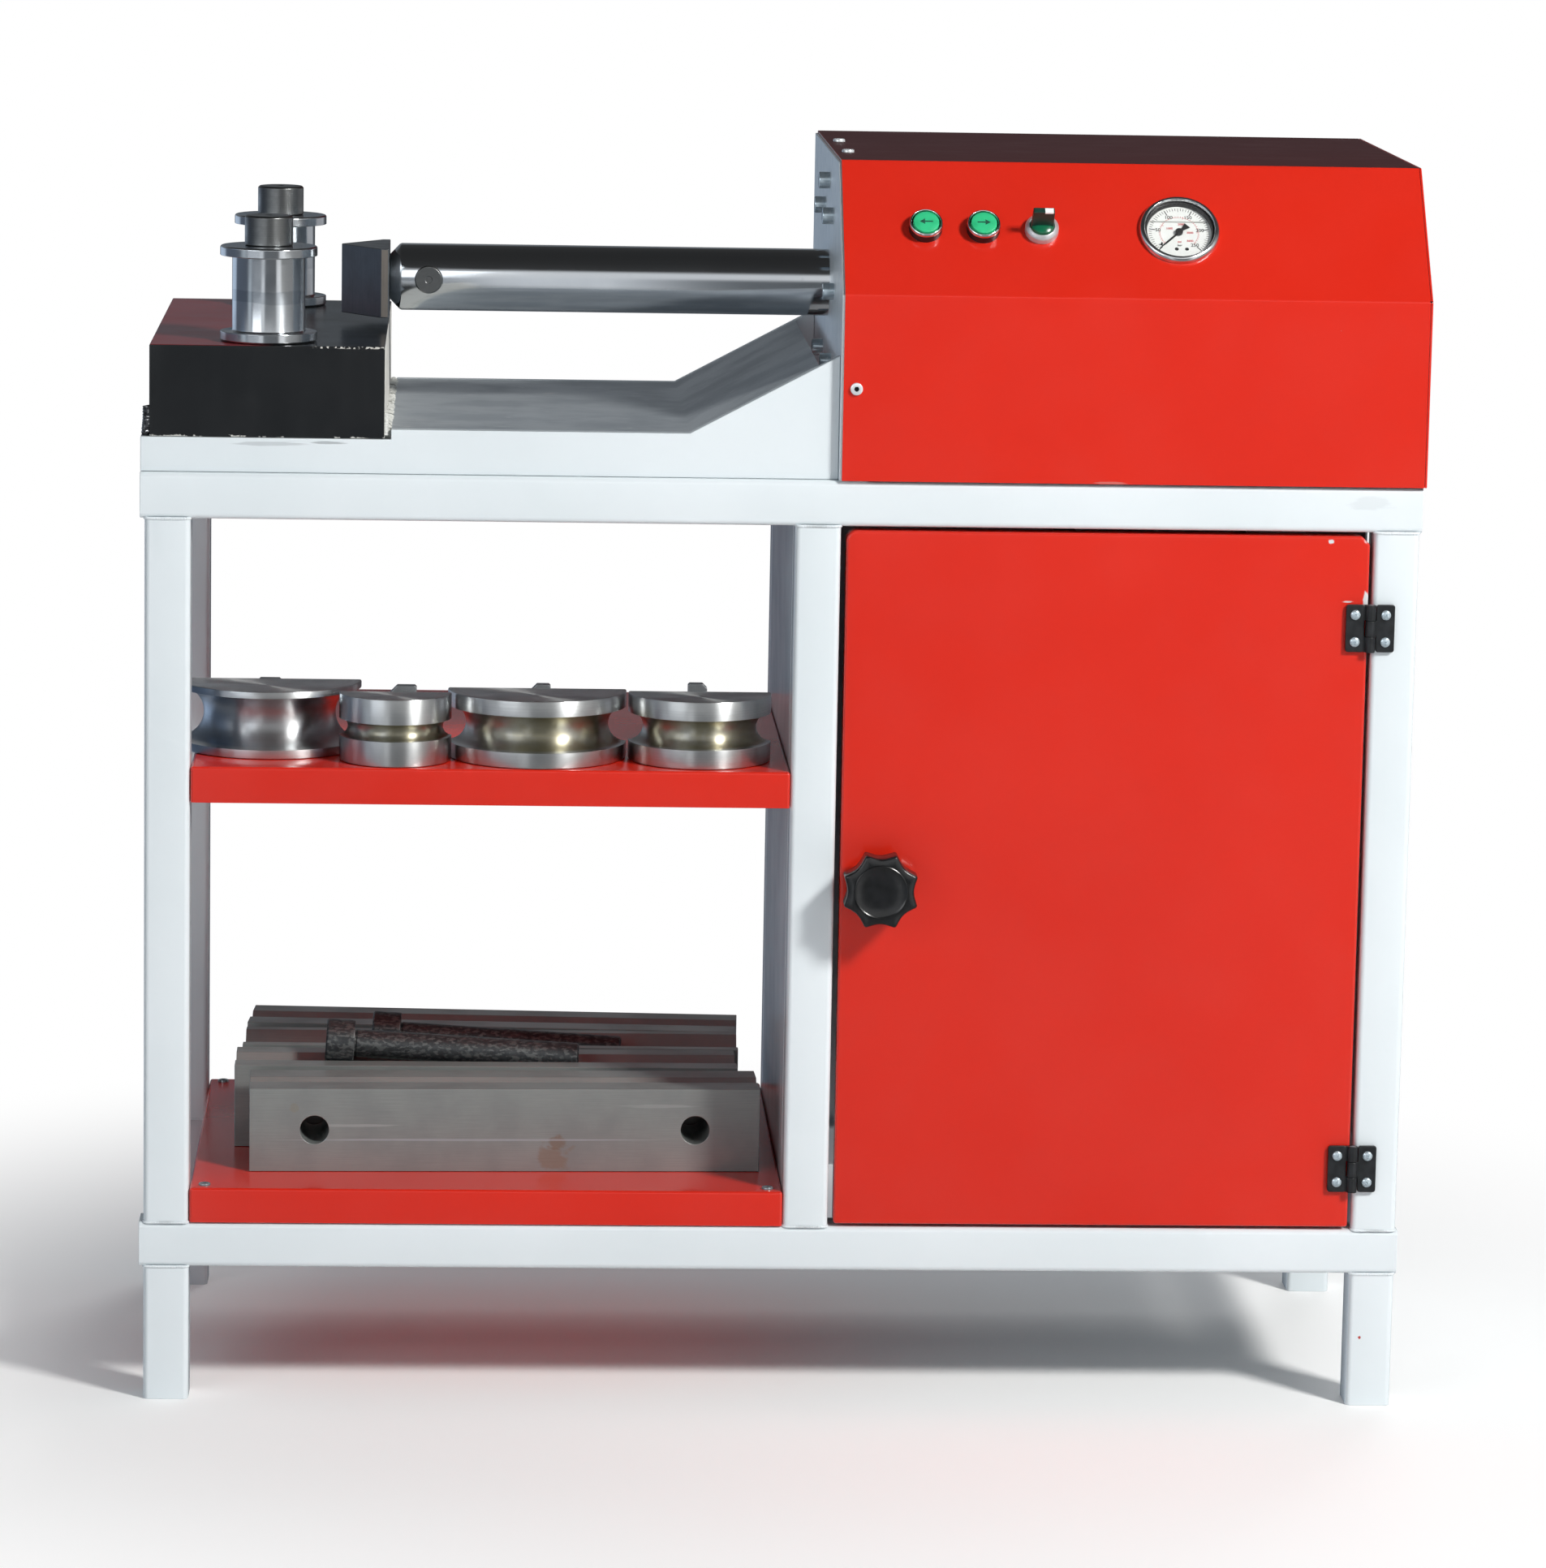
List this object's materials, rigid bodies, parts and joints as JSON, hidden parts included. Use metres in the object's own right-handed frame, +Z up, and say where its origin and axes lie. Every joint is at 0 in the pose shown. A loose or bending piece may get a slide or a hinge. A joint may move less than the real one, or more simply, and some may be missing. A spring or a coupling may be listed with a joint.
{
  "type": "horizontal bending press",
  "caption": "Horizontal ram bending press on a square-tube stand, with a vee punch, free counter-rollers, a control panel, a hinged door and shelves of bending tools.",
  "frame": {"origin": "centre of the bounding box's base, on the floor the four feet stand on", "axes": "+X to the right along the ram, away from the rollers; +Y from the front with the door and the panel to the back; +Z up"},
  "size_m": [1.1222, 0.5336, 1.1036],
  "materials": {
    "white_paint": "gloss",
    "red_paint": "gloss",
    "raw_steel": "milled",
    "cut_steel": "rough cut",
    "black_block": "semi-gloss",
    "turned_steel": "turned",
    "polished_steel": "ground",
    "dark_steel": "oxide",
    "bright_plating": "polished",
    "green_plastic": "gloss",
    "grey_metal": "satin",
    "black_plastic": "satin",
    "clear_glass": "clear",
    "black_rubber": "matte"
  },
  "bodies": {
    "press": {"bottom_rail_front": "white_paint", "bottom_rail_rear": "white_paint", "top_rail_front": "white_paint", "top_rail_rear": "white_paint", "upright_front_left": "white_paint", "upright_front_right": "white_paint", "upright_rear_left": "white_paint", "upright_rear_right": "white_paint", "middle_post_front": "white_paint", "middle_post_rear": "white_paint", "bottom_cross_left": "white_paint", "bottom_cross_right": "white_paint", "top_cross_left": "white_paint", "top_cross_right": "white_paint", "bed_side_front": "white_paint", "bed_side_rear": "white_paint", "cabinet_side": "white_paint", "cabinet_wrap": "white_paint", "cover_shell": "red_paint", "shelf_upper": "red_paint", "shelf_lower": "red_paint", "bed_top_plate": "raw_steel", "roller_pin_front": "raw_steel", "roller_pin_rear": "raw_steel", "v_bar_1": "raw_steel", "v_bar_2": "raw_steel", "v_bar_3": "raw_steel", "v_bar_4": "raw_steel", "cylinder_plate": "cut_steel", "bolster_block": "black_block", "former_1": "turned_steel", "former_2": "turned_steel", "former_3": "turned_steel", "former_4": "turned_steel", "cylinder_barrel": "dark_steel", "spare_pin_front": "dark_steel", "spare_pin_rear": "dark_steel", "bezel_forward": "bright_plating", "bezel_back": "bright_plating", "gauge_case": "bright_plating", "selector_base": "grey_metal", "oil_tank": "grey_metal", "pump_motor": "grey_metal", "hinge_top_stand_leaf": "black_plastic", "hinge_bottom_stand_leaf": "black_plastic", "gauge_glass": "clear_glass", "hydraulic_hoses": "black_rubber"},
    "ram": {"ram": "polished_steel", "punch": "dark_steel", "ram_pin": "cut_steel"},
    "front_roller": {"roller_front": "turned_steel"},
    "rear_roller": {"roller_rear": "turned_steel"},
    "forward_button": {"button_forward": "green_plastic"},
    "back_button": {"button_back": "green_plastic"},
    "selector": {"selector_knob": "green_plastic"},
    "pointer": {"gauge_pointer": "black_plastic"},
    "door": {"door": "red_paint", "hinge_top_door_leaf": "black_plastic", "hinge_bottom_door_leaf": "black_plastic"},
    "knob": {"door_knob": "black_plastic"}
  },
  "joints": [
    {"name": "ram_slide", "type": "slide", "parent": "press", "child": "ram", "axis": [-1, 0, 0], "range_m": [-0.24, 0.06]},
    {"name": "roller_front_spin", "type": "hinge", "parent": "press", "child": "front_roller", "pos_m": [-0.4521, -0.1663, 0.98], "axis": [0, 0, 1], "continuous": true},
    {"name": "roller_rear_spin", "type": "hinge", "parent": "press", "child": "rear_roller", "pos_m": [-0.4521, 0.1787, 0.98], "axis": [0, 0, 1], "continuous": true},
    {"name": "button_forward_push", "type": "slide", "parent": "press", "child": "forward_button", "axis": [0, 0.7494, -0.6622], "range_m": [0, 0.0035], "stiffness_N_per_m": 600, "springref_m": -0.002},
    {"name": "button_back_push", "type": "slide", "parent": "press", "child": "back_button", "axis": [0, 0.7494, -0.6622], "range_m": [0, 0.0035], "stiffness_N_per_m": 600, "springref_m": -0.002},
    {"name": "selector_turn", "type": "hinge", "parent": "press", "child": "selector", "pos_m": [0.2215, -0.17746, 1.0448], "axis": [0, -0.7494, 0.6622], "range_deg": [0, 90]},
    {"name": "pointer_swing", "type": "hinge", "parent": "press", "child": "pointer", "pos_m": [0.3425, -0.1764, 1.046], "axis": [0, 0.7494, -0.6622], "range_deg": [0, 270], "stiffness_Nm_per_rad": 0.002, "springref_deg": -5.73},
    {"name": "door_swing", "type": "hinge", "parent": "press", "child": "door", "pos_m": [0.5152, -0.2268, 0.472], "axis": [0, 0, 1], "range_deg": [0, 110]},
    {"name": "knob_turn", "type": "hinge", "parent": "door", "child": "knob", "pos_m": [0.0875, -0.2218, 0.472], "axis": [0, -1, 0], "range_deg": [0, 90]}
  ]
}
